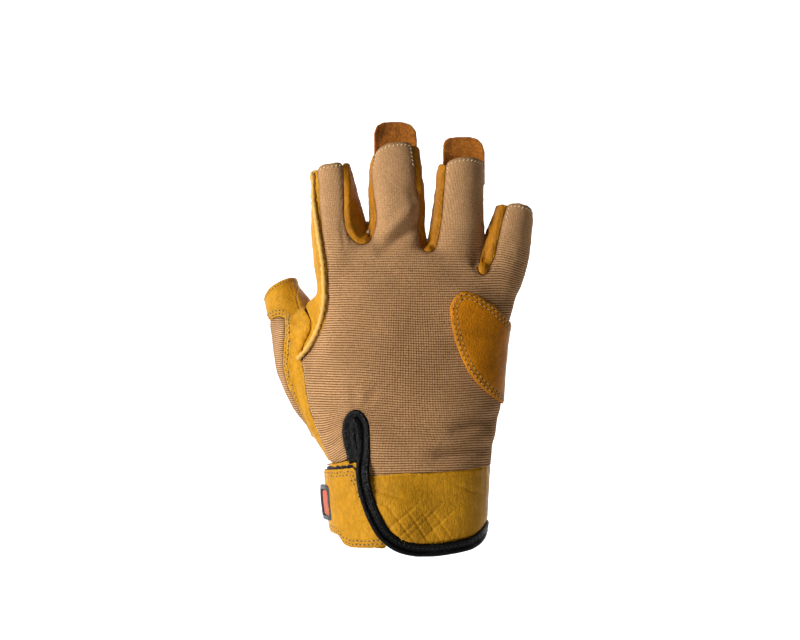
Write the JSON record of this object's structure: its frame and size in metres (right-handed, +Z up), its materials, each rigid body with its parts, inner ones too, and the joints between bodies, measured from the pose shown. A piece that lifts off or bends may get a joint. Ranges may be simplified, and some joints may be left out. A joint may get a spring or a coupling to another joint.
{
  "type": "climbing glove",
  "caption": "Fingerless leather climbing and belay glove for the right hand, in its worn shape, with a ribbed stretch back, a wrist strap, a bound cuff slit and finger pull tabs.",
  "frame": {"origin": "the centre of the wrist opening, level with the lowest part of the cuff's edge", "axes": "+Z up the hand from the wrist to the fingertips, -Y out of the back of the hand, +X towards the little finger, so the thumb is on the -X side"},
  "size_m": [0.1283, 0.0762, 0.2023],
  "materials": {
    "back_cloth": "ribbed stretch cloth",
    "palm_leather": "smooth tan-yellow leather",
    "gusset_leather": "darker gold leather",
    "patch_leather": "smooth gold-brown leather",
    "suede": "brown suede",
    "black_leather": "black leather, satin",
    "black_pile": "short black pile",
    "frame_rubber": "dark grey ridged rubber",
    "face_plastic": "plain orange plastic"
  },
  "bodies": {
    "root": {"back_panel": "back_cloth", "palm_panel": "palm_leather", "index_middle_gusset": "gusset_leather", "middle_ring_gusset": "gusset_leather", "ring_little_gusset": "gusset_leather", "thumb_back": "palm_leather", "thumb_insert": "back_cloth", "thumb_front": "palm_leather", "cuff_flap": "palm_leather", "edge_patch": "patch_leather", "middle_pull_tab": "suede", "ring_pull_tab": "suede", "index_seam_welt": "palm_leather", "slit_binding": "black_leather", "wrist_strap": "palm_leather", "strap_lining": "black_pile", "badge_frame": "frame_rubber", "badge_face": "face_plastic"}
  },
  "joints": []
}
